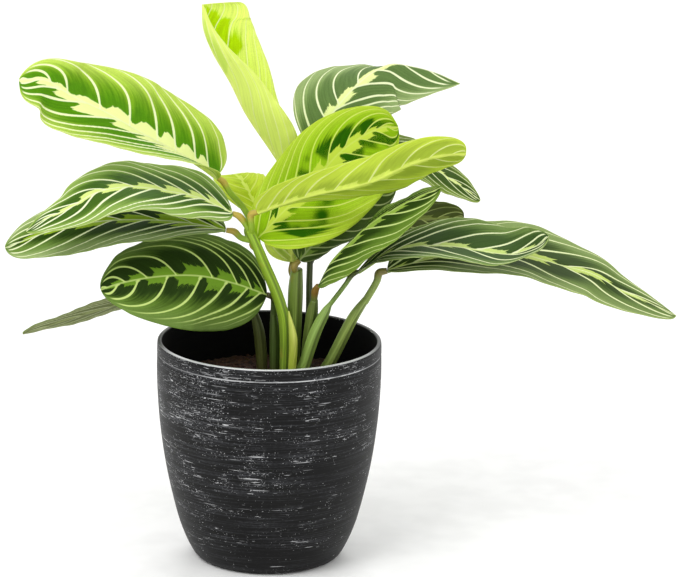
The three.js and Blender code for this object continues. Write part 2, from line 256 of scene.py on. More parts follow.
def ring_faces(rings, sides):
    """Quads from ring to ring and a fan over each end, whose middle point follows the rings."""
    ring = np.arange(rings * sides).reshape(rings, sides)
    after = np.roll(ring, -1, 1)
    faces = np.stack([ring[:-1], after[:-1], after[1:], ring[1:]], -1).reshape(-1, 4).tolist()
    faces += [(ring.size, b, a) for a, b in zip(ring[0], after[0])]
    return faces + [(ring.size + 1, a, b) for a, b in zip(ring[-1], after[-1])]


def lathe(profile, sides):
    """Turns a closed profile of radius and height, which starts and ends on the axis."""
    angles = 2 * np.pi * np.arange(sides) / sides
    inner = np.asarray(profile)[1:-1]
    rings = np.stack([inner[:, :1] * np.cos(angles), inner[:, :1] * np.sin(angles),
                      np.repeat(inner[:, 1:], sides, 1)], -1).reshape(-1, 3)
    points = np.vstack([rings, [0, 0, profile[0][1]], [0, 0, profile[-1][1]]])
    return points, ring_faces(len(inner), sides)


groove_at = POT_HEIGHT - GROOVE_DROP
beside_groove = BELLY_RADIUS - 0.1
foot = [(FOOT_RADIUS - 0.5, 0), (FOOT_RADIUS + 1.2, 0.35), (FOOT_RADIUS + 4, 2.2)]
side = [(radius, height) for height, radius in OUTER_SIDE]
outer = smooth_line(foot + side + [(beside_groove, groove_at - GROOVE_WIDTH)], POT_STEP)
outer[:, 0] = np.minimum(outer[:, 0], BELLY_RADIUS)
groove = [(BELLY_RADIUS - 0.35, groove_at - 0.5), (BELLY_RADIUS - GROOVE_DEPTH, groove_at),
          (BELLY_RADIUS - 0.4, groove_at + 0.5), (beside_groove, groove_at + GROOVE_WIDTH)]
lip = smooth_line([(beside_groove, groove_at + GROOVE_WIDTH + 0.4),
                   (RIM_RADIUS + 0.15, POT_HEIGHT - 2 * LIP_ROUND),
                   (RIM_RADIUS - 0.15, POT_HEIGHT - 0.5 * LIP_ROUND),
                   (RIM_RADIUS - POT_WALL / 2, POT_HEIGHT),
                   (RIM_RADIUS - POT_WALL + 0.15, POT_HEIGHT - 0.5 * LIP_ROUND),
                   (RIM_RADIUS - POT_WALL, POT_HEIGHT - 2 * LIP_ROUND)], LIP_STEP)
inside = smooth_line([(RIM_RADIUS - POT_WALL, POT_HEIGHT - 3 * LIP_ROUND)]
                     + [(radius - POT_WALL, height) for radius, height in reversed(side)]
                     + [(FOOT_RADIUS + 2, POT_FLOOR + 1), (FOOT_RADIUS - 1, POT_FLOOR)], INSIDE_STEP)
profile = np.vstack([[(0, 0)], outer, groove, lip, inside, [(0, POT_FLOOR)]])
points, faces = lathe(profile, POT_SIDES)
inside_row = len(outer) + len(groove) + len(lip) - 2

height = points[:, 2]
brushed = np.random.default_rng(11).normal(size=BRUSH_RIDGES)
brushed = np.convolve(brushed, np.hanning(RIDGE_BLEND) / (RIDGE_BLEND / 2), "same")
ridge = np.interp(height, np.linspace(0, POT_HEIGHT, BRUSH_RIDGES), brushed)
on_side = np.clip((height - RIDGES_FROM) / (RIDGES_FULL_AT - RIDGES_FROM), 0, 1)
on_side *= height < groove_at - GROOVE_WIDTH
on_side[inside_row * POT_SIDES:] = 0
from_axis = np.maximum(np.hypot(points[:, 0], points[:, 1]), 1)
points[:, :2] *= (1 - RIDGE_DEPTH * np.abs(ridge) * on_side / from_axis)[:, None]


def new_group(name, inputs, outputs):
    """An empty group of shader nodes, whose sockets are given by name and kind."""
    tree = bpy.data.node_groups.new(name, "ShaderNodeTree")
    for way, sockets in (("INPUT", inputs), ("OUTPUT", outputs)):
        for label, kind in sockets.items():
            tree.interface.new_socket(name=label, in_out=way, socket_type="NodeSocket" + kind)
    return Shading(tree), tree.nodes.new("NodeGroupInput").outputs, tree.nodes.new("NodeGroupOutput").inputs


def level_noise(nodes, around, high, shift=0, detail=2, roughness=0.5):
    """Noise drawn out level round the pot, with so many cells a metre around it and up it."""
    place = nodes.add("Mapping", {"Vector": nodes.place, "Location": (shift, shift, shift),
                                  "Scale": (around, around, high)})[0]
    return nodes.noise(place, 1, detail, roughness)


def dry_brushed_silver():
    """Silver left by a nearly dry brush on a turning pot: the marks and the haze between them."""
    group, _, out = new_group("dry_brushed_silver", {}, dict.fromkeys(("Silver", "Haze", "Height"), "Float"))
    x, _, z = group.split(group.place)
    bands = level_noise(group, 14, 160, 0, 3, 0.7)
    patches = level_noise(group, 50, 90, 3)
    more_left = group.fade(x, 0.04, -0.045, -0.03, 0.02)
    less_low = group.fade(z, 0, 0.08, -0.08, 0.02)
    loaded = group.plus(group.times(group.plus(bands, patches), 0.5), more_left, less_low)
    loaded = group.fade(loaded, 0.37, 0.65)
    marks = []
    for mark in BRUSH_MARKS:
        grain = level_noise(group, mark["around"], mark["high"], mark["shift"], 0)
        bare_below = group.minus(mark["bare"], group.times(loaded, mark["full"]))
        marks.append(group.fade(grain, bare_below, group.plus(bare_below, MARK_SOFTNESS)))
    silver = reduce(lambda first, second: group.maths("MAXIMUM", first, second), marks)
    pressure = group.fade(level_noise(group, 90, 900, 2), 0.35, 0.7, 0.2, 1)
    silver = group.times(silver, pressure)
    lines = level_noise(group, 30, 1500, 9, 1)
    dust = level_noise(group, 500, 2200, 4, 1)
    haze = group.times(group.fade(lines, 0.45, 0.65), group.fade(dust, 0.4, 0.6, 0.3, 1),
                       group.fade(loaded, 0, 1, 0.4, 1))
    group.join(out["Silver"], silver)
    group.join(out["Haze"], haze)
    group.join(out["Height"], group.plus(silver, lines))
    return group.tree


brushed_plastic, nodes = new_material("brushed_pot_plastic")
brush = nodes.add("Group", node_tree=dry_brushed_silver())
x, y, z = nodes.split(nodes.place)
# The top of the lip: some silver rubbed on by the brush, and a painted highlight, brightest at the front
# where the light catches the lip.
lip_wear_and_highlight = nodes.fade(z, (POT_HEIGHT - 0.7) * MM, (POT_HEIGHT - 0.35) * MM)
lip_wear_and_highlight = nodes.times(lip_wear_and_highlight, nodes.fade(y, -0.01, -0.045, 0.2, 1))
groove_edge = nodes.maths("COMPARE", z, (groove_at + 0.75) * MM, 0.35 * MM)
breaks = nodes.fade(level_noise(nodes, 60, 60, 2, 3), 0.38, 0.56)
groove_edge = nodes.times(groove_edge, nodes.fade(x, -0.05, -0.015, 0.25, 0.9),
                          nodes.fade(breaks, 0, 1, 0.4, 1))
silver = nodes.maths("MAXIMUM", brush["Silver"], nodes.maths("MAXIMUM", lip_wear_and_highlight, groove_edge))
plastic = nodes.tint(nodes.fade(nodes.noise(nodes.place, 30, 4), 0.3, 0.7), *CHARCOALS)
colour = nodes.coat(plastic, (nodes.times(brush["Haze"], 0.7), SILVER_HAZE), (silver, SILVER))
relief = nodes.bump(0.35, 0.2 * MM, brush["Height"])
satin = nodes.fade(silver, 0, 1, 0.48, 0.36)
nodes.surface(nodes.face(colour, satin, relief, shine=0.16, metal=nodes.times(silver, 0.35)))

bare_plastic, nodes = new_material("bare_pot_plastic")
dust = nodes.fade(level_noise(nodes, 60, 400, 0, 3), 0.45, 0.75)
nodes.surface(nodes.face(nodes.tint(dust, *BARE_BLACKS), 0.7, nodes.bump(0.2, 0.2 * MM, dust), shine=0.15))

side_faces = (len(profile) - 3) * POT_SIDES
slots = [int(index // POT_SIDES >= inside_row) for index in range(side_faces)]
slots += [0] * POT_SIDES + [1] * POT_SIDES
pot = mesh_piece("pot_shell", points, faces, face_slots=slots, materials=(brushed_plastic, bare_plastic))
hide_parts("pot")
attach(pot, "root")

# Soil: dark red-brown peat mix, poured round the roots to 27 mm below the lip and pressed down
# by hand, so it is humped in the middle and crumbly on top.
SOIL_DROP = 27
SOIL_RISE = 2.5
HUMP_SLOPE = 1.25
SOIL_INSET = POT_WALL + 0.6
SOIL_SIDES = 160
SOIL_RINGS = 60
SOIL_STEP = 6
LUMP_WAVES = 60
LUMP_HEIGHT = 0.16
LUMP_LOWEST, LUMP_HIGHEST = -1.4, 0.9
CRUMB_COUNT = 420
CRUMB_SIDES = 8
CRUMB_RISES = (-0.7, 0, 0.7)
CRUMB_SIZES = 0.5, 1.9
CRUMB_SINK = 0.2
PEATS = paint(34, 19, 14), paint(78, 45, 32)
PEAT_FIBRE = paint(128, 84, 58)

soil_height = POT_HEIGHT - SOIL_DROP
bed_side = [(radius - SOIL_INSET, height + 0.3) for height, radius in OUTER_SIDE if height < soil_height]
bed_radius = bed_side[-1][0]


def hump(share):
    """How far the soil rises above its edge, by share of the way from the middle."""
    return SOIL_RISE * np.clip(HUMP_SLOPE * (1 - share), 0, 1)


def gathered(parts):
    """Lists of points and faces as one list of each."""
    points, faces, count = [], [], 0
    for more_points, more_faces in parts:
        points.append(more_points)
        faces += [[index + count for index in face] for face in more_faces]
        count += len(more_points)
    return np.vstack(points), faces


bed = [(FOOT_RADIUS - 1.5, POT_FLOOR + 0.3), (FOOT_RADIUS + 0.5, POT_FLOOR + 1.6)] + bed_side
bed += [(bed_radius, soil_height - 1)]
shares = np.linspace(1, 0.01, SOIL_RINGS)
bed_top = np.stack([bed_radius * shares, soil_height + hump(shares)], -1)
low_end, high_end = (0, bed[0][1]), (0, soil_height + hump(0))
profile = np.vstack([low_end, smooth_line(bed, SOIL_STEP), bed_top[1:], high_end])
points, faces = lathe(profile, SOIL_SIDES)
rng = np.random.default_rng(4)
lumps = np.zeros(len(points))
for _ in range(LUMP_WAVES):
    waves = rng.uniform(0.15, 1.3, 2) * rng.choice((-1, 1), 2)
    lumps += LUMP_HEIGHT * np.sin(points[:, :2] @ waves + rng.uniform(0, 2 * np.pi))
top = points[:, 2] > soil_height - 0.9
points[top, 2] += np.clip(lumps[top], LUMP_LOWEST, LUMP_HIGHEST)

parts = [(points, faces)]
round_crumb = [(0, -1)] + [(math.sqrt(1 - rise**2), rise) for rise in CRUMB_RISES] + [(0, 1)]
round_crumb, crumb_faces = lathe(round_crumb, CRUMB_SIDES)
for _ in range(CRUMB_COUNT):
    share, angle = 0.97 * math.sqrt(rng.uniform(0, 1)), rng.uniform(0, 2 * math.pi)
    size = rng.uniform(*CRUMB_SIZES)
    pulls = rng.uniform(0.7, 1.25, (len(round_crumb), 1))
    pulls = np.concatenate([pulls[2:], pulls[1::-1]])
    crumb = round_crumb * pulls * rng.uniform(0.6, 1.2, 3) * size
    centre = np.array([math.cos(angle), math.sin(angle), 0]) * share * bed_radius
    parts.append((crumb + centre + (0, 0, soil_height + hump(share) - CRUMB_SINK), crumb_faces))

peat, nodes = new_material("peat")
clods = nodes.noise(nodes.place, 220, 5, 0.65)
fibres = nodes.noise(nodes.place, 900, 3, 0.6)
crumbly = nodes.tint(nodes.fade(clods, 0.3, 0.7), *PEATS)
colour = nodes.tint(nodes.fade(fibres, 0.6, 0.75), crumbly, PEAT_FIBRE)
nodes.surface(nodes.face(colour, 0.92, nodes.bump(0.9, 0.8 * MM, nodes.plus(clods, fibres))))
soil = mesh_piece("soil_bed", *gathered(parts), materials=(peat,))
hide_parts("soil")
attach(soil, "root")

# Leaf blades: thin, fleshy blades on a stiff rib, with arching side veins that are pressed into
# the upper face. A pale toothed band runs along the rib, one tooth for each vein, and between
# the veins the blade is dark near the band and paler towards its edge. Each grows on its stalk.
BLADE_ROWS = 110
BLADE_COLUMNS = 22
RIB_STEP = 0.25
EDGE_WAVE = 0.8
EDGE_WAVES = 2.5
FLUTTER = 0.35
FLUTTER_WAVES = 7
FLUTTER_BEAT = 3.1
BASE_HALF_WIDTH = 1.4
TIP_HALF_WIDTH = 0.5
RIB_THICKNESS = 0.8
EDGE_THICKNESS = 0.35
RIB_REACH = 6
KEEL_AT_BASE = 1.3
KEEL_AT_TIP = 0.3
KEEL_WIDTH = 1.1
FURROW_DEPTH = 0.35
FURROW_WIDTH = 0.9
PLEAT = 0.4
PLEAT_FREE_RIB = 4
USUAL_VEINS = 9
USUAL_SWEEP = 0.85
USUAL_HOOK = 0.55
USUAL_OFFSET = 0.3
VEIN_JITTER = 0.1
SPARE_VEINS = 5
SPARE_BEFORE, SPARE_AFTER = 0.15, 0.1
VEIN_SPACING = 1, 60


def half(width, fold_base=0, fold_tip=0, bend=0, taper=0.6, rounding=0.5, lobe=0):
    """One half of a blade: its width in mm, its folds and bend in degrees, and its outline."""
    return dict(width=width, fold_base=fold_base, fold_tip=fold_tip, bend=bend, taper=taper,
                rounding=rounding, lobe=lobe)


# A leaf's colours start with a capital. After its shape come its veins, the marking's values, and
# how wide the band and the dark patches are along the rib and on each half.
YOUNG = dict(slot="leaf_young", Vein=(246, 251, 206), Band=(246, 252, 178), Patch=(96, 154, 14),
             Field=(172, 206, 52), Edge=(206, 229, 104), Under=(214, 233, 100), UnderVein=(240, 248, 172),
             UnderBand=(230, 243, 136))
MATURE = dict(slot="leaf_mature", Vein=(232, 242, 184), Band=(228, 243, 146), Patch=(54, 86, 20),
              Field=(108, 142, 54), Edge=(148, 174, 92), Under=(118, 138, 84), UnderVein=(190, 206, 140),
              UnderBand=(150, 172, 92))
# Painted shade: the leaf colours darkened, band and veins too, for the blades that lie in shade under the
# others; their own colours below are darkened the same way.
SHADE_DARKENED = dict(slot="leaf_shade", Vein=(188, 212, 118), Band=(116, 152, 50), Patch=(28, 44, 10),
              Field=(92, 122, 40), Edge=(98, 126, 52), Under=(100, 114, 56), UnderVein=(168, 182, 108),
              UnderBand=(126, 146, 76))

LEAVES = dict(
    upper_left=dict(YOUNG, rib=[(-31, 6, 225), (-39, 1, 232), (-50, -4, 240), (-74, -12, 255),
        (-93, -16, 267), (-113, -21, 278), (-128, -26, 288), (-142, -28, 288)],
        facing=[(0, -0.4, 0.9), (-0.3, -0.8, 0.55)], left=half(27, 42, 5, 0, 0.3),
        right=half(33.5, 21, 0, 0, 0.65, 0.25, 14),
        places=(0.05, 0.12, 0.23, 0.34, 0.46, 0.63, 0.77, 0.87), sweep=(0.1, 0.19), sweep_left=(0.42, 0.2),
        toothed=0.1, band_at=(0, 0.25, 0.5, 0.75, 1), band=(1.3, 1.2, 0.9, 0.75, 0.5), band_right=0.75,
        band_left=1.5, vein_width=0.75, reach=0.56, softness=0.34, dark_left=1.35, glow=0.3, shine=0.1,
        Patch=(88, 148, 8), Field=(164, 202, 48)),
    left=dict(MATURE, rib=[(-22, -2, 206), (-40, -8, 216), (-56, -14, 221), (-80, -24, 226),
        (-99, -32, 224), (-112, -38, 217), (-128, -42, 210), (-137, -44, 204)],
        facing=[(0, -0.3, 0.95), (-0.3, -0.3, 0.9)], left=half(31),
        right=half(35, 0, 0, 0, 0.95, 0.36),
        sweep=(0.22, 0.14), sweep_left=(0.35, 0.15), toothed=0.4, vein_width=0.8, reach=0.52,
        band_left=0.7, band_width=0.75, band_at=(0, 0.1, 0.5, 0.85, 1), band=(1.6, 1.1, 1, 0.7, 0.3),
        Patch=(70, 106, 32), Field=(126, 162, 64), Edge=(156, 186, 96), Vein=(248, 253, 214)),
    left_under=dict(MATURE, rib=[(-26, 6, 194), (-47, 5, 198), (-70, 3, 200), (-98, -2, 200),
        (-127, -8, 195), (-152, -13, 186)],
        facing=[(0, -0.4, 0.9), (-0.2, -0.4, 0.9)], left=half(28, 11, 0, 0, 0.45, 0.75),
        right=half(28),
        veins=7, sweep=(0.4, 0.15), toothed=0.4, vein_width=0.65, reach=0.55, band_width=0.7,
        band_at=(0, 0.16, 0.3, 0.85, 1), band=(2.9, 2.3, 1, 0.7, 0.3), dark_at=(0, 0.55, 0.8, 1),
        dark=(1, 1, 0.7, 0.2),
        Patch=(44, 72, 12), Field=(112, 144, 62), Edge=(166, 188, 122), Band=(150, 184, 42),
        Vein=(240, 248, 200)),
    low_left=dict(SHADE_DARKENED, rib=[(-2, 8, 155), (-20, -2, 164), (-40, -12, 171), (-63, -22, 173),
        (-84, -30, 171), (-96, -31, 167)],
        facing=[(0, -0.82, 0.57), (-0.1, -0.82, 0.57)], left=half(32, -8, -8, -24, 0.55, 0.42),
        right=half(34, -8, -8, -24, 0.5, 0.3),
        places=(0.02, 0.1, 0.21, 0.36, 0.57, 0.74, 0.86), sweep=(0.15, 0.5), vein_end=0.95,
        vein_width=0.65, reach=0.55, dark_right=1.15, dark_left=0.85, offset=0.35, band_width=0.9,
        Patch=(42, 62, 22), Field=(98, 130, 46), Edge=(116, 144, 70), Band=(116, 156, 46),
        Vein=(206, 228, 134)),
    low_left_back=dict(SHADE_DARKENED, rib=[(-53, 26, 158), (-71, 30, 151), (-95, 34, 140), (-119, 38, 131),
        (-147, 42, 120)],
        facing=[(0, 0.41, 0.91)] * 2, left=half(16), right=half(18),
        veins=6, toothed=0.7, sweep=(0.5, 0.2), vein_width=0.45,
        Under=(142, 152, 98), UnderVein=(212, 220, 174), UnderBand=(156, 166, 110)),
    upright=dict(YOUNG, rib=[(9, 38, 221), (0, 40, 234), (-15, 40, 256), (-24, 39, 274), (-35, 38, 293),
        (-40, 38, 306), (-41, 39, 320)],
        facing=[(0.9, 0, 0.42), (0.97, -0.15, 0.1)], left=half(27, 30, 10, 70, 0.9),
        right=half(29.5, 30, 38, 60, 0.08),
        veins=6, sweep=(0.4, 0.2), toothed=0.5, vein_width=0.35, reach=0.62, softness=0.08,
        dark_at=(0, 0.6, 0.68, 0.9, 0.97, 1), dark=(0, 0, 1, 0.9, 0.4, 0), band_width=0.6, glow=0.45,
        Patch=(194, 226, 16), Field=(230, 245, 130), Edge=(236, 248, 142), Band=(248, 252, 196),
        Under=(240, 249, 146), UnderVein=(250, 253, 204), UnderBand=(244, 251, 160)),
    centre=dict(YOUNG, rib=[(-7, 4, 190), (7, 6, 205), (25, 10, 223), (41, 16, 240), (62, 26, 251),
        (73, 34, 250)],
        facing=[(-0.2, -0.9, 0.4), (0, -0.9, 0.4)], left=half(25), right=half(36, 0, 0, 0, 0.45),
        sweep=(0.3, 0.2), toothed=0.6, vein_width=0.45, reach=0.4, softness=0.08, breaks=1,
        glow=0.35, band_width=0.8, dark_right=1.6, dark_at=(0, 0.08, 0.17, 1), dark=(0, 0.2, 1.2, 1),
        Patch=(46, 104, 4), Field=(160, 202, 28), Edge=(196, 222, 66), Band=(214, 233, 84),
        Vein=(222, 238, 116)),
    centre_front=dict(YOUNG, rib=[(-7, -6, 208), (14, -16, 218), (30, -22, 224), (45, -26, 228),
        (60, -28, 233), (74, -28, 240), (88, -26, 245), (100, -23, 247), (111, -20, 247)],
        facing=[(0, 0.86, 0.5), (0, 0.9, 0.4)], left=half(22, 42, 18, 0, 0.35),
        right=half(17, 0, 5, 0, 0.3, 0.3),
        veins=8, sweep=(0.16, 0.1), toothed=0.8, vein_width=0.5, reach=0.5, glow=0.4, through=0.3,
        band_width=0.7, dark_at=(0, 0.6, 1), dark=(0.3, 0.9, 1.6),
        Patch=(80, 134, 20), Field=(150, 188, 44), Edge=(170, 200, 60), Under=(222, 239, 86),
        UnderVein=(246, 252, 176), UnderBand=(234, 246, 124)),
    # behind_centre's underside colours are painted lighter than a young leaf's: painted light on a blade
    # that lies in the shade of the leaves in front.
    behind_centre=dict(YOUNG, rib=[(12.5, 15, 173), (13, 20, 184), (17, 25, 200), (24, 30, 215)],
        facing=[(0, 0.98, -0.2)] * 2, left=half(15), right=half(19, 0, 0, 0, 0.5, 0.4),
        veins=6, toothed=0.6, vein_width=0.45, glow=0.35,
        Under=(244, 253, 128), UnderVein=(252, 255, 190), UnderBand=(248, 254, 150)),
    under_centre=dict(MATURE, rib=[(17, 8, 176), (27, 12, 187), (43, 16, 199), (58, 20, 210),
        (72, 22, 218)],
        facing=[(-0.3, -0.95, 0.1), (-0.3, -0.6, 0.7)], left=half(22), right=half(20, -10, -20, -110),
        veins=8, toothed=0.8, vein_width=0.45, reach=0.8,
        Patch=(74, 96, 44), Field=(108, 126, 76), Edge=(132, 146, 102), Band=(128, 156, 70),
        Vein=(178, 192, 130)),
    right_front=dict(SHADE_DARKENED, rib=[(28, 1, 163), (35, -8, 179), (47, -16, 194), (58, -22, 206),
        (77, -30, 220), (97, -36, 231)],
        facing=[(-0.64, -0.18, 0.74), (-0.5, -0.2, 0.8)], left=half(26, -15, -15),
        right=half(26, -15, -15, 0, 0.6, 0.7),
        veins=7, sweep=(0.45, 0.15), toothed=0.9, vein_width=0.5, reach=0.45, band_width=0.6,
        Patch=(46, 68, 22), Field=(92, 124, 42), Edge=(112, 142, 54), Band=(150, 180, 76),
        Vein=(204, 222, 140)),
    right_back=dict(SHADE_DARKENED, rib=[(34, 38, 182), (61, 44, 187), (85, 48, 192), (113, 52, 192)],
        facing=[(0, 0.64, 0.76)] * 2, left=half(20, 0, 0, 0, 0.3, 0.8), right=half(25, 0, 0, 0, 0.45),
        veins=7, vein_width=0.5, sweep=(0.2, 0.2),
        Under=(88, 100, 42), UnderVein=(176, 190, 112), UnderBand=(130, 144, 72)),
    upper_right=dict(MATURE, rib=[(22, 46, 233), (28, 48, 244), (36, 50, 256), (46, 52, 268),
        (56, 54, 277), (68, 55, 283), (82, 54, 282), (96, 50, 279), (109, 46, 274)],
        facing=[(-0.3, -0.9, 0.3), (0, -0.9, 0.4)], left=half(36, 25, -150, -10, 1.2, 0.75, -10),
        right=half(28, 0, 0, 0, 0.9, 1),
        veins=8, sweep=(0.45, 0.15), sweep_left=(0.1, 0.16), toothed=0.7,
        band_width=0.55, band_at=(0, 0.3, 0.5, 0.62, 0.7, 1), band=(0.8, 1, 0.9, 0.3, 0, 0),
        Patch=(102, 130, 72), Field=(132, 158, 92), Edge=(160, 182, 120), Band=(242, 251, 172),
        Vein=(244, 250, 206)),
    right_behind=dict(MATURE, rib=[(39, 56, 230), (63, 60, 230), (82, 63, 225), (102, 65, 214),
        (123, 66, 199)],
        facing=[(0.1, -0.2, 0.95), (0.4, -0.2, 0.85)], left=half(27), right=half(26),
        veins=8, sweep=(0.3, 0.2), toothed=0.7, vein_width=0.5, band_width=0.6,
        Patch=(62, 90, 24), Field=(102, 130, 46), Edge=(126, 150, 62)),
    right=dict(MATURE, rib=[(51, -4, 173), (70, -12, 187), (92, -20, 193), (114, -26, 193),
        (136, -30, 191), (151, -32, 196), (159, -32, 202)],
        facing=[(0, -0.19, 0.98)] * 2, left=half(29, 9, 12, 0, 0.45, 0.7), right=half(26, 9, 9),
        veins=6, sweep=(0.35, 0.15), toothed=0.9, vein_width=0.75, reach=0.62, band_width=0.6,
        Patch=(66, 92, 44), Field=(96, 124, 60), Edge=(118, 144, 76), Band=(208, 228, 134),
        Vein=(238, 246, 196)),
    far_right=dict(MATURE, rib=[(68, 10, 170), (93, 8, 178), (115, 4, 182), (146, 0, 183),
        (167, -2, 178), (187, -4, 173), (200, -6, 166), (227, -8, 154), (235, -8, 150)],
        facing=[(0, -0.27, 0.96), (0.32, -0.27, 0.91)], left=half(37, 6, -4, 0, 1),
        right=half(30, 9, 0, 0, 0.6, 0.7),
        veins=6, sweep=(0.35, 0.15), toothed=0.9, vein_width=0.75, reach=0.55, band_width=0.6,
        dark_at=(0, 0.55, 0.85, 1), dark=(1.1, 1, 0.5, 0.1),
        Patch=(62, 82, 38), Field=(108, 132, 68), Edge=(142, 164, 98), Band=(204, 224, 120),
        Vein=(238, 246, 190)),
    left_back=dict(YOUNG, rib=[(-8, 31, 199), (-14, 45, 208), (-21, 66, 212), (-28, 88, 207)],
        facing=[(0, -0.5, 0.86), (0, -0.1, 1)], left=half(16), right=half(14),
        veins=5, sweep=(0.3, 0.2), toothed=0.5, vein_width=0.45, glow=0.3, band_width=0.5, reach=0.2,
        Patch=(186, 212, 40), Field=(206, 226, 60), Edge=(214, 232, 80), Vein=(226, 240, 120),
        Band=(222, 238, 104)),
)


class Rib:
    """The line that a blade is laid out on: points and directions by share of its length."""

    def __init__(self, points):
        self.line = smooth_line(points, RIB_STEP)
        steps = np.linalg.norm(np.diff(self.line, axis=0), axis=1)
        self.length = steps.sum()
        self.share = np.concatenate([[0], np.cumsum(steps)]) / self.length
        self.heading = np.gradient(self.line, self.share, axis=0)

    def at(self, s):
        return np.stack([np.interp(s, self.share, axis) for axis in self.line.T], -1)

    def along(self, s):
        return unit(np.stack([np.interp(s, self.share, axis) for axis in self.heading.T], -1))


def unit(vectors):
    return vectors / np.linalg.norm(vectors, axis=-1, keepdims=True)


def dip(distance, width):
    """A soft dip or swelling: 1 at no distance, and nearly 0 from twice its width on."""
    return np.exp(-(distance / width) ** 2)


def outline(s, side):
    """The share of its full half-width that a blade has at s."""
    widest = side["rounding"] / (side["rounding"] + side["taper"])
    return (s / widest) ** side["rounding"] * ((1 - s) / (1 - widest)) ** side["taper"]


def vein_places(leaf):
    """Where the side veins leave the rib, by share of its length."""
    if "places" in leaf:
        return np.array(leaf["places"])
    veins = leaf.get("veins", USUAL_VEINS)
    even = (np.arange(veins) + 0.45) / (veins + 0.3)
    return even - 0.05 * np.sin(2 * np.pi * even)


def vein_counts(s, across, leaf, lean, rng):
    """Counts each half's side veins from the base: a whole number lies on each vein."""
    places = vein_places(leaf)
    gaps = np.gradient(places)
    sweep = leaf.get("sweep", (USUAL_SWEEP * lean, USUAL_HOOK * lean))
    before, after = SPARE_BEFORE * np.arange(SPARE_VEINS, 0, -1), SPARE_AFTER * np.arange(1, SPARE_VEINS + 1)
    counts = []
    halves = (leaf.get("sweep_left", sweep), leaf.get("offset", USUAL_OFFSET)), (sweep, 0)
    for (bow, hook), offset in halves:
        moved = places + gaps * (offset + rng.uniform(-VEIN_JITTER, VEIN_JITTER, len(places)))
        known = np.concatenate([moved[0] - before, moved, moved[-1] + after])
        start = s - bow * across - hook * across**4
        counts.append(np.interp(start, known, np.arange(len(known))))
    return counts


def vein_spacing(sheet, count):
    """The distance in mm from one side vein to the next, from how fast the count grows."""
    by_row, by_column = np.gradient(sheet, axis=(0, 1))
    more_row, more_column = np.gradient(count, axis=(0, 1))
    e, f, g = ((a * b).sum(-1) for a, b in ((by_row, by_row), (by_row, by_column), (by_column, by_column)))
    growth = np.abs(g * more_row**2 - 2 * f * more_row * more_column + e * more_column**2)
    growth = np.sqrt(growth / np.maximum(e * g - f**2, 1e-6))
    return np.clip(1 / np.maximum(growth, 1e-3), *VEIN_SPACING)


def blade_faces(rows, columns):
    """The quads of the upper face, of the lower face and of the edge between them."""
    grid = np.arange(rows * columns).reshape(rows, columns)
    a, b, c, d = (part.ravel() for part in (grid[:-1, :-1], grid[:-1, 1:], grid[1:, 1:], grid[1:, :-1]))
    rim = np.concatenate([grid[0], grid[1:, -1], grid[-1, -2::-1], grid[-2:0:-1, 0]])
    after = np.roll(rim, -1)
    upper, lower = np.stack([a, b, c, d], -1), np.stack([a, d, c, b], -1) + grid.size
    return np.concatenate([upper, lower, np.stack([rim, rim + grid.size, after + grid.size, after], -1)])


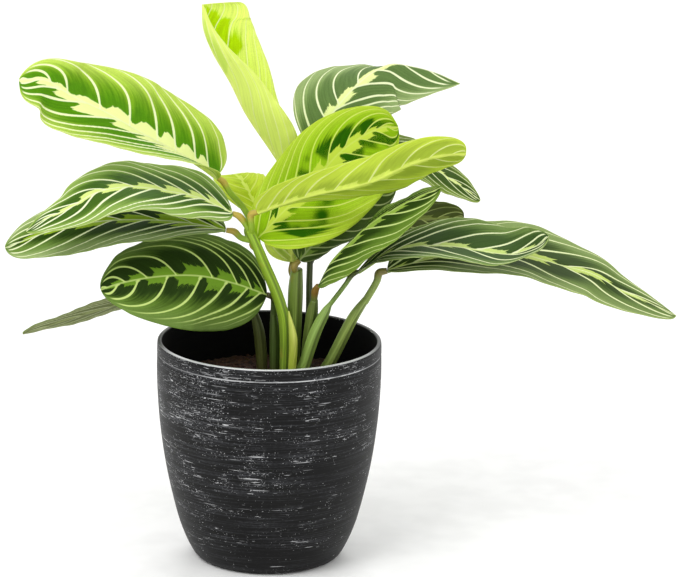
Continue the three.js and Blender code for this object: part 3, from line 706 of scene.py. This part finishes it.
def blade_mesh(leaf, seed):
    """Points, faces and the leaf coordinates that the markings are painted by."""
    rib = Rib(leaf["rib"])
    rng = np.random.default_rng(seed)
    rows, columns = BLADE_ROWS + 1, 2 * BLADE_COLUMNS + 1
    s = ((1 - np.cos(np.pi * np.arange(rows) / BLADE_ROWS)) / 2)[:, None]
    t = (np.arange(columns) / BLADE_COLUMNS - 1)[None, :]
    across, outward = np.abs(t), np.sign(t)
    left, right = leaf["left"], leaf["right"]

    def by_half(name):
        return np.where(t < 0, left[name], right[name])

    def level_at(name, usual_at, usual):
        """The leaf's levels along the rib, scaled on each half."""
        levels = np.interp(s, leaf.get(name + "_at", usual_at), leaf.get(name, usual))
        return levels * np.where(t < 0, leaf.get(name + "_left", 1), leaf.get(name + "_right", 1))

    origin, along = rib.at(s[:, 0])[:, None], rib.along(s[:, 0])[:, None]
    first, last = np.array(leaf["facing"], float)
    sideways = unit(np.cross(along, first + (last - first) * s[:, :, None]))
    upward = np.cross(sideways, along)
    share = np.where(t < 0, outline(s, left), outline(s, right))
    reach = np.maximum(by_half("width") * share, BASE_HALF_WIDTH + (TIP_HALF_WIDTH - BASE_HALF_WIDTH) * s)
    from_rib = reach * across
    fold = np.radians(by_half("fold_base") + (by_half("fold_tip") - by_half("fold_base")) * s)
    bend = np.radians(by_half("bend")) + (by_half("bend") == 0) * 1e-4
    turned = fold + bend * across
    out = reach * (np.sin(turned) - np.sin(fold)) / bend * outward
    rise = reach * (np.cos(fold) - np.cos(turned)) / bend

    lean = (left["width"] + right["width"]) / 2 / rib.length
    counts = vein_counts(s, across, leaf, lean, rng)
    count = np.where(t < 0, *counts)
    pleats = np.abs(np.sin(np.pi * count)) ** 0.7 - 0.5
    pleats = PLEAT * pleats * np.clip(from_rib / PLEAT_FREE_RIB, 0, 1) * np.clip((1 - across) * 3.5, 0, 1)
    pleats = pleats * np.clip(share * 1.6, 0, 1)
    wave = EDGE_WAVE * t**2 * share * np.sin(2 * np.pi * EDGE_WAVES * s)
    flutter = FLUTTER * across**3 * share * np.sin(2 * np.pi * (FLUTTER_WAVES * s + rng.uniform()))
    flutter = flutter * np.sin(2 * np.pi * FLUTTER_BEAT * s)
    thick = EDGE_THICKNESS + (RIB_THICKNESS - EDGE_THICKNESS) * dip(from_rib, RIB_REACH)
    keel = (KEEL_AT_BASE + (KEEL_AT_TIP - KEEL_AT_BASE) * s) * dip(from_rib, KEEL_WIDTH)
    furrow = FURROW_DEPTH * dip(from_rib, FURROW_WIDTH) * np.clip(8 * (1 - s), 0, 1)
    shift = -by_half("lobe") * t**2 * (1 - s) ** 4 * share

    sheets = []
    for lift in (thick / 2 - furrow, -thick / 2 - keel):
        lift = wave + pleats + flutter + lift
        sheets.append(origin + along * shift[..., None]
                      + sideways * (out - lift * np.sin(turned) * outward)[..., None]
                      + upward * (rise + lift * np.where(t == 0, 1, np.cos(turned)))[..., None])
    spacing = vein_spacing((sheets[0] + sheets[1]) / 2, count)
    band = level_at("band", (0, 0.12, 0.5, 0.85, 1), (0.5, 0.8, 1, 0.7, 0.3))
    dark = level_at("dark", (0, 0.5, 1), (1, 1, 1))
    zero = np.zeros_like(count)
    marks = {"blade": ((t, zero + 1, zero + seed), (t, zero, zero + seed)),
             "veins": ((*counts, spacing),) * 2,
             "span": ((from_rib, reach - from_rib, zero),) * 2,
             "zones": ((band, dark, zero),) * 2}
    attributes = {name: np.concatenate([np.stack(np.broadcast_arrays(*values), -1).reshape(-1, 3)
                                        for values in both]) for name, both in marks.items()}
    points = np.concatenate([sheet.reshape(-1, 3) for sheet in sheets])
    return points, blade_faces(rows, columns), attributes


def stops(nodes, value, marks):
    """A straight-line curve through marks of place and height."""
    colour = nodes.add("ValToRGB", {0: value})[0]
    ramp = colour.node.color_ramp
    for index, (place, level) in enumerate(marks):
        element = ramp.elements[index] if index < 2 else ramp.elements.new(place)
        element.position = place
        element.color = (level, level, level, 1)
    return colour


# Half the band's width from one side vein to the next, toothed and scalloped, and a vein's width
# from the rib to the edge. Each starts with its two ends.
TOOTH = ((0, 0.3), (1, 0.1), (0.05, 0.27), (0.16, 0.23), (0.26, 0.26), (0.29, 0.21), (0.42, 0.27),
         (0.45, 0.23), (0.58, 0.32), (0.62, 0.13), (0.7, 0.1), (0.8, 0.03), (0.9, 0.03))
SCALLOP = ((0, 0.24), (1, 0.2), (0.08, 0.2), (0.2, 0.24), (0.3, 0.28), (0.42, 0.29), (0.52, 0.25),
           (0.6, 0.26), (0.7, 0.18), (0.8, 0.12), (0.92, 0.11))
VEIN_WIDTHS = ((0, 0.45), (1, 0.3), (0.12, 0.7), (0.35, 1), (0.6, 0.8))
COLOURS = ("Vein", "Band", "Patch", "Field", "Edge", "Under", "UnderVein", "UnderBand")
USUAL = dict(toothed=1, band_width=1, vein_width=0.6, reach=0.6, softness=0.2, breaks=0, through=0.35,
             vein_end=1.1)


def read(nodes, name):
    """The three numbers that the mesh holds at each point under this name."""
    return nodes.split(nodes.add("Attribute", attribute_name=name)["Vector"])


def vector(nodes, *values):
    return nodes.add("CombineXYZ", dict(enumerate(values)))[0]


def within(nodes, value, limit, soft):
    """1 where value is below the limit and 0 above it, with a soft edge."""
    return nodes.fade(value, nodes.plus(limit, soft), nodes.minus(limit, soft))


def jitter(nodes, value, grain, amount):
    """The value moved up and down by a noise."""
    return nodes.plus(value, nodes.times(nodes.minus(grain, 0.5), amount))


def blend(nodes, share, first, second):
    return nodes.add("Mix", {0: share, 2: first, 3: second})[0]


def shade(nodes, colour, amount):
    """The colour, made so many times as bright."""
    return nodes.add("VectorMath", {0: colour, "Scale": amount}, operation="SCALE")[0]


def prayer_plant_marking():
    """Paints a prayer plant's blade by its leaf coordinates, on both faces."""
    inputs = {**dict.fromkeys(COLOURS, "Color"), **dict.fromkeys(USUAL, "Float")}
    outputs = {"Color": "Color", "Roughness": "Float", "Height": "Float"}
    group, given, out = new_group("leaf_marking", inputs, outputs)
    t, is_upper, seed = read(group, "blade")
    left_count, right_count, spacing = read(group, "veins")
    from_rib, from_edge, _ = read(group, "span")
    band_level, dark_level, _ = read(group, "zones")
    on_left = group.maths("LESS_THAN", t, 0)
    across = group.maths("ABSOLUTE", t)
    count = blend(group, on_left, right_count, left_count)
    between = group.maths("FRACT", count)
    from_vein = group.times(group.maths("PINGPONG", between, 0.5), spacing)
    grain = group.noise(vector(group, group.times(count, 9), group.times(across, 2),
                               group.plus(group.times(on_left, 5), seed)), 1, 3, 0.6)
    ragged = group.noise(group.place, 420)
    broad = group.noise(group.place, 38)
    cells = group.fade(group.noise(group.place, 1500), 0.3, 0.7, 0.95, 1.05)
    vein = vector(group, group.maths("FLOOR", count), on_left, seed)
    chance = group.add("TexWhiteNoise", {"Vector": vein})["Value"]

    width = group.times(stops(group, across, VEIN_WIDTHS), given["vein_width"],
                        group.fade(broad, 0.3, 0.7, 0.85, 1.15))
    width = group.maths("MINIMUM", width, group.times(spacing, 0.17))
    ends = group.fade(across, given["vein_end"], group.minus(given["vein_end"], 0.2))
    veins = group.times(within(group, from_vein, width, 0.16), group.fade(spacing, 1.2, 2.6), ends)

    tooth = blend(group, given["toothed"], stops(group, between, SCALLOP), stops(group, between, TOOTH))
    tooth = group.times(tooth, group.fade(chance, 0, 1, 0.72, 1.15), band_level, given["band_width"])
    band = within(group, jitter(group, across, ragged, 0.05), tooth, 0.012)

    bulge = group.maths("SINE", group.times(between, math.pi))
    limit = group.times(given["reach"], dark_level, group.fade(bulge, 0, 1, 0.8, 1.12))
    patch = within(group, jitter(group, across, grain, 0.35), limit, given["softness"])
    broken = group.plus(broad, group.times(chance, 0.25))
    patch = group.times(patch, group.fade(broken, 0.56, 0.66, 1, group.minus(1, given["breaks"])))

    upper = group.coat(given["Field"], (group.fade(across, 0.45, 1), given["Edge"]),
                       (patch, given["Patch"]))
    upper = shade(group, upper, group.times(group.fade(grain, 0.25, 0.75, 0.86, 1.12), cells))
    upper = group.coat(upper, (band, given["Band"]),
                       (group.fade(from_rib, 0.65, 0.3, 0, 0.7), given["Vein"]),
                       (veins, given["Vein"]), (group.fade(from_edge, 0.7, 0.2, 0, 0.5), given["Band"]))
    under = group.coat(given["Under"], (group.times(patch, given["through"]), given["Patch"]),
                       (group.times(band, 0.75), given["UnderBand"]))
    under = shade(group, under, group.fade(grain, 0.25, 0.75, 0.93, 1.06))
    under = group.coat(under, (group.times(veins, 0.85), given["UnderVein"]),
                       (group.fade(from_rib, 1.3, 0.6), given["UnderBand"]))

    group.join(out["Color"], group.tint(is_upper, under, upper))
    group.join(out["Roughness"], group.fade(group.plus(grain, veins), 0.2, 1.6, 0.46, 0.6))
    raised = group.times(veins, group.fade(is_upper, 0, 1, 0.22, 0.1))
    group.join(out["Height"], group.plus(raised, group.times(grain, 0.14), group.times(cells, 0.03)))
    return group.tree


leaf_marking = prayer_plant_marking()


def leaf_material(name, leaf):
    """One leaf's finish: satin, with light that comes through the blade where it is thin."""
    material, nodes = new_material("leaf_" + name)
    values = {**{label: paint(*leaf[label]) for label in COLOURS},
              **{label: leaf.get(label, usual) for label, usual in USUAL.items()}}
    marks = nodes.add("Group", values, node_tree=leaf_marking)
    normal = nodes.bump(0.7, MM, marks["Height"])
    face = nodes.face(marks["Color"], marks["Roughness"], normal, shine=leaf.get("shine", 0.02))
    through = nodes.add("BsdfTranslucent", {"Color": marks["Color"], "Normal": normal})[0]
    nodes.surface(nodes.add("MixShader", {0: leaf.get("glow", 0.18), 1: face, 2: through})[0])
    return material


for seed, (name, leaf) in enumerate(LEAVES.items()):
    blade = mesh_piece("blade_" + name, *blade_mesh(leaf, seed), materials=(leaf_material(name, leaf),))
    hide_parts("leaf_" + name)
    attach(blade, "root")

# Stems: fleshy round stalks, wrapped at the foot in leaf sheaths that overlap along one side.
# Each grows out of the soil, and under a blade it swells into a short orange-brown knuckle.
STEM_SIDES = 28
STEM_STEP = 0.7
SEAM_AT = 2.2
SHEATH_LAP = 0.2
LAP_FROM = 0.7
KNUCKLE_LENGTH = 9
KNUCKLE_SWELLING = 0.22
SWELLING_BACK, SWELLING_WIDTH = 5, 3.2
FOOT_DEPTH = 15
STALK_LEAD = 5
GAP = 0.3
ground = soil_height + SOIL_RISE + 0.5
# A dark green painted into the sheath's crease as shade.
SEAM_SHADE_GREEN = paint(38, 46, 18)
LOW_BROWN = paint(58, 42, 26)


def stalk(route, leaf, first=1.9, last=1.5):
    """A stalk from the stem to its blade, with the radius at each point as the fourth number."""
    rib = Rib(LEAVES[leaf]["rib"])
    start, along = rib.at(0), rib.along(0)
    places = list(route) + [tuple(start - along * back) for back in (STALK_LEAD, GAP)]
    return [(*place, radius) for place, radius in zip(places, np.linspace(first, last, len(places)))]


STEMS = dict(
    left=dict(green=(146, 180, 44), low=(120, 150, 48), knuckle=(196, 166, 70), runs=[
        [(9, 6, ground, 3.2), (8, 6, 143, 3.5), (-5, 2, 179, 3.3), (-12, 0, 196, 2.7)],
        stalk([(-7, 2, 183)], "centre"),
        stalk([(-11, 0, 193), (-11, -3, 199)], "centre_front"),
        stalk([(-11, 0, 194)], "left"),
        stalk([(-9, 1, 189), (-17, 4, 190)], "left_under"),
        stalk([(-6, 3, 181), (-10, 14, 193), (-16, 14, 205), (-24, 9, 216)], "upper_left"),
        stalk([(-8, 3, 184), (-14, 14, 192)], "left_back")]),
    middle=dict(green=(118, 140, 58), low=(100, 124, 44), knuckle=(150, 128, 54), runs=[
        [(14, 16, ground, 4), (14.5, 15, 135, 4.4), (15, 12.5, 158, 4.6), (15.5, 10, 170, 3.6)],
        stalk([(15.5, 10, 167)], "under_centre"),
        stalk([(14.5, 12, 162)], "behind_centre")]),
    back=dict(green=(60, 72, 26), low=(50, 60, 22), knuckle=(84, 70, 30), runs=[
        [(20, 23, ground, 2.3), (22.7, 23, 138, 2.2), (22.7, 25, 160, 2), (23.5, 28, 178, 1.9),
         (27, 33, 195, 1.8)],
        stalk([(27, 33, 193), (21, 40, 215)], "upper_right"),
        stalk([(27, 33, 193), (32, 48, 215)], "right_behind"),
        stalk([(23, 27, 170)], "right_back"),
        stalk([(26, 32, 190), (15, 36, 204)], "upright")]),
    near=dict(green=(100, 118, 50), low=(96, 112, 50), knuckle=(140, 100, 36), runs=[
        [(21, 11, ground, 3.3), (23, 9.5, 130, 3.6), (25, 7, 146, 3.4), (26, 5, 153, 2.2)],
        stalk([(25.5, 6, 150)], "right_front", 2.1)]),
    # The right and far-right stems' colours are painted light: raised, and paler low down than above, to
    # stand in for light where the leaves over them cast shade.
    right=dict(green=(134, 164, 80), low=(150, 180, 84), knuckle=(66, 70, 30), runs=[
        [(18, 2, ground, 3.6), (21, 2, 116, 3.7), (27, 1.5, 135, 3.6), (32.5, 1, 147, 2.8),
         (35, 0.5, 152, 1.4)],
        stalk([(34.5, 0.8, 151), (44, -2, 165)], "right", 1.4, 1.3)]),
    far_right=dict(green=(148, 170, 84), low=(148, 174, 84), knuckle=(132, 116, 62), runs=[
        [(32, 14, ground, 3.5), (36.5, 13, 115, 3.7), (49, 10, 142, 3.3), (56, 9, 153, 2.2)],
        stalk([(55, 9, 151), (62, 9, 164)], "far_right", 2.2, 1.8)]),
    low_left=dict(green=(74, 94, 36), low=(74, 96, 38), knuckle=(80, 74, 34), runs=[
        [(3, 15, ground, 3), (2.8, 15, 128, 3.1), (2, 14.5, 142, 2)],
        stalk([(2, 14.6, 140), (2.2, 13, 150)], "low_left", 2, 1.6)]),
    low_back=dict(green=(84, 94, 40), low=(94, 102, 46), knuckle=(80, 72, 34), runs=[
        [(-4.5, 21, ground, 3.4), (-6.3, 22, 128, 3.5), (-10, 23, 142, 2.1)],
        stalk([(-9, 22.7, 140), (-24, 23, 158)], "low_left_back", 2)]),
    young=dict(green=(206, 216, 100), low=(180, 200, 64), knuckle=(190, 200, 88), twist=3, runs=[
        [(13, -4, ground, 2.3), (13.8, -4, 126, 2.5), (13.6, -3.6, 133, 2.5), (11, -2, 148, 0.4)]]),
)


def stem_tube(route, seam, swelling, twist):
    """A closed tube along a smooth route, on a sheath with one edge lapped over the other, and
    for each point how far it is from both ends of the tube and the share of the way around."""
    line = smooth_line(route, STEM_STEP)
    line, radius = line[:, :3], line[:, 3]
    heading = unit(np.gradient(line, axis=0))
    sides = [unit(np.cross(heading[0], (0.3, 1, 0.1)))]
    for along in heading:
        sides.append(unit(sides[-1] - along * (sides[-1] @ along)))
    sides = np.array(sides[1:])
    others = np.cross(heading, sides)
    gone = np.concatenate([[0], np.cumsum(np.linalg.norm(np.diff(line, axis=0), axis=1))])[:, None]
    left = gone[-1] - gone
    around = (np.arange(STEM_SIDES) / STEM_SIDES)[None]
    lapped = np.clip(1 + seam * (around - LAP_FROM), 0, 1 + seam * (1 - LAP_FROM))
    reach = radius[:, None] * (1 + swelling * dip(left - SWELLING_BACK, SWELLING_WIDTH)) * lapped
    turned = 2 * np.pi * around + twist * gone / gone[-1] + SEAM_AT
    points = (line[:, None] + sides[:, None] * (reach * np.cos(turned))[..., None]
              + others[:, None] * (reach * np.sin(turned))[..., None])
    coordinates = np.stack(np.broadcast_arrays(left, gone, around), -1)
    ends = (gone[-1, 0], 0, 0), (0, gone[-1, 0], 0)
    return (np.vstack([points.reshape(-1, 3), line[[0, -1]]]), ring_faces(*reach.shape),
            np.vstack([coordinates.reshape(-1, 3), ends]))


def stem_mesh(stem):
    """The stem, from its foot in the soil, and its stalks as overlapping tubes of one mesh."""
    trunk, *stalks = stem["runs"]
    x, y, _, foot_radius = trunk[0]
    twist = stem.get("twist", 0)
    tubes = [stem_tube([(x, y, soil_height - FOOT_DEPTH, foot_radius)] + trunk, SHEATH_LAP, 0, twist)]
    tubes += [stem_tube(route, 0, KNUCKLE_SWELLING, twist) for route in stalks]
    is_stalk = [np.full((len(tube[0]), 3), float(index > 0)) for index, tube in enumerate(tubes)]
    points, faces = gathered([tube[:2] for tube in tubes])
    return points, faces, {"along": np.vstack([tube[2] for tube in tubes]), "stalk": np.vstack(is_stalk)}


def stem_material(name, stem):
    material, nodes = new_material("stem_" + name)
    left, gone, around = read(nodes, "along")
    is_stalk = read(nodes, "stalk")[0]
    is_sheath = nodes.minus(1, is_stalk)
    height = nodes.split(nodes.place)[2]
    lines = nodes.noise(vector(nodes, nodes.times(around, 14), nodes.times(gone, 0.03)), 1)
    blotch = nodes.noise(nodes.place, 90, 3)
    green, low, knuckle = (paint(*stem[label]) for label in ("green", "low", "knuckle"))
    pale = paint(*(min(255, value * 1.25 + 14) for value in stem["green"]))
    hem = nodes.times(nodes.fade(around, 0.93, 0.97, 0, 0.7), is_sheath)
    # Painted shade: dark green in the step just past the lapped sheath edge, where the overlap shades the
    # sheath below.
    furrow = nodes.times(nodes.fade(around, 0.09, 0.02, 0, 0.45), is_sheath)
    # Browner towards the foot, just above the soil.
    browner_low = nodes.fade(nodes.plus(height, nodes.times(blotch, 0.012)), 0.122, 0.108, 0, 0.75)
    joint = nodes.fade(left, KNUCKLE_LENGTH * 1.2, KNUCKLE_LENGTH * 0.5, 0, 0.85)
    colour = nodes.coat(low, (nodes.fade(height, 0.105, 0.165), green),
                        (nodes.fade(lines, 0.5, 0.72, 0, 0.5), pale), (hem, pale), (furrow, SEAM_SHADE_GREEN),
                        (nodes.fade(blotch, 0.6, 0.75, 0, 0.35), knuckle), (browner_low, LOW_BROWN),
                        (nodes.times(joint, is_stalk), knuckle))
    rough = nodes.plus(lines, nodes.times(nodes.noise(nodes.place, 900), 0.4))
    satin = nodes.fade(lines, 0.3, 0.7, 0.38, 0.52)
    face = nodes.face(colour, satin, nodes.bump(0.5, 0.3 * MM, rough))
    through = nodes.add("BsdfTranslucent", {"Color": colour})[0]
    nodes.surface(nodes.add("MixShader", {0: 0.12, 1: face, 2: through})[0])
    return material


for name, stem in STEMS.items():
    piece = mesh_piece("stalks_" + name, *stem_mesh(stem), materials=(stem_material(name, stem),))
    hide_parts("stem_" + name)
    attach(piece, "root")
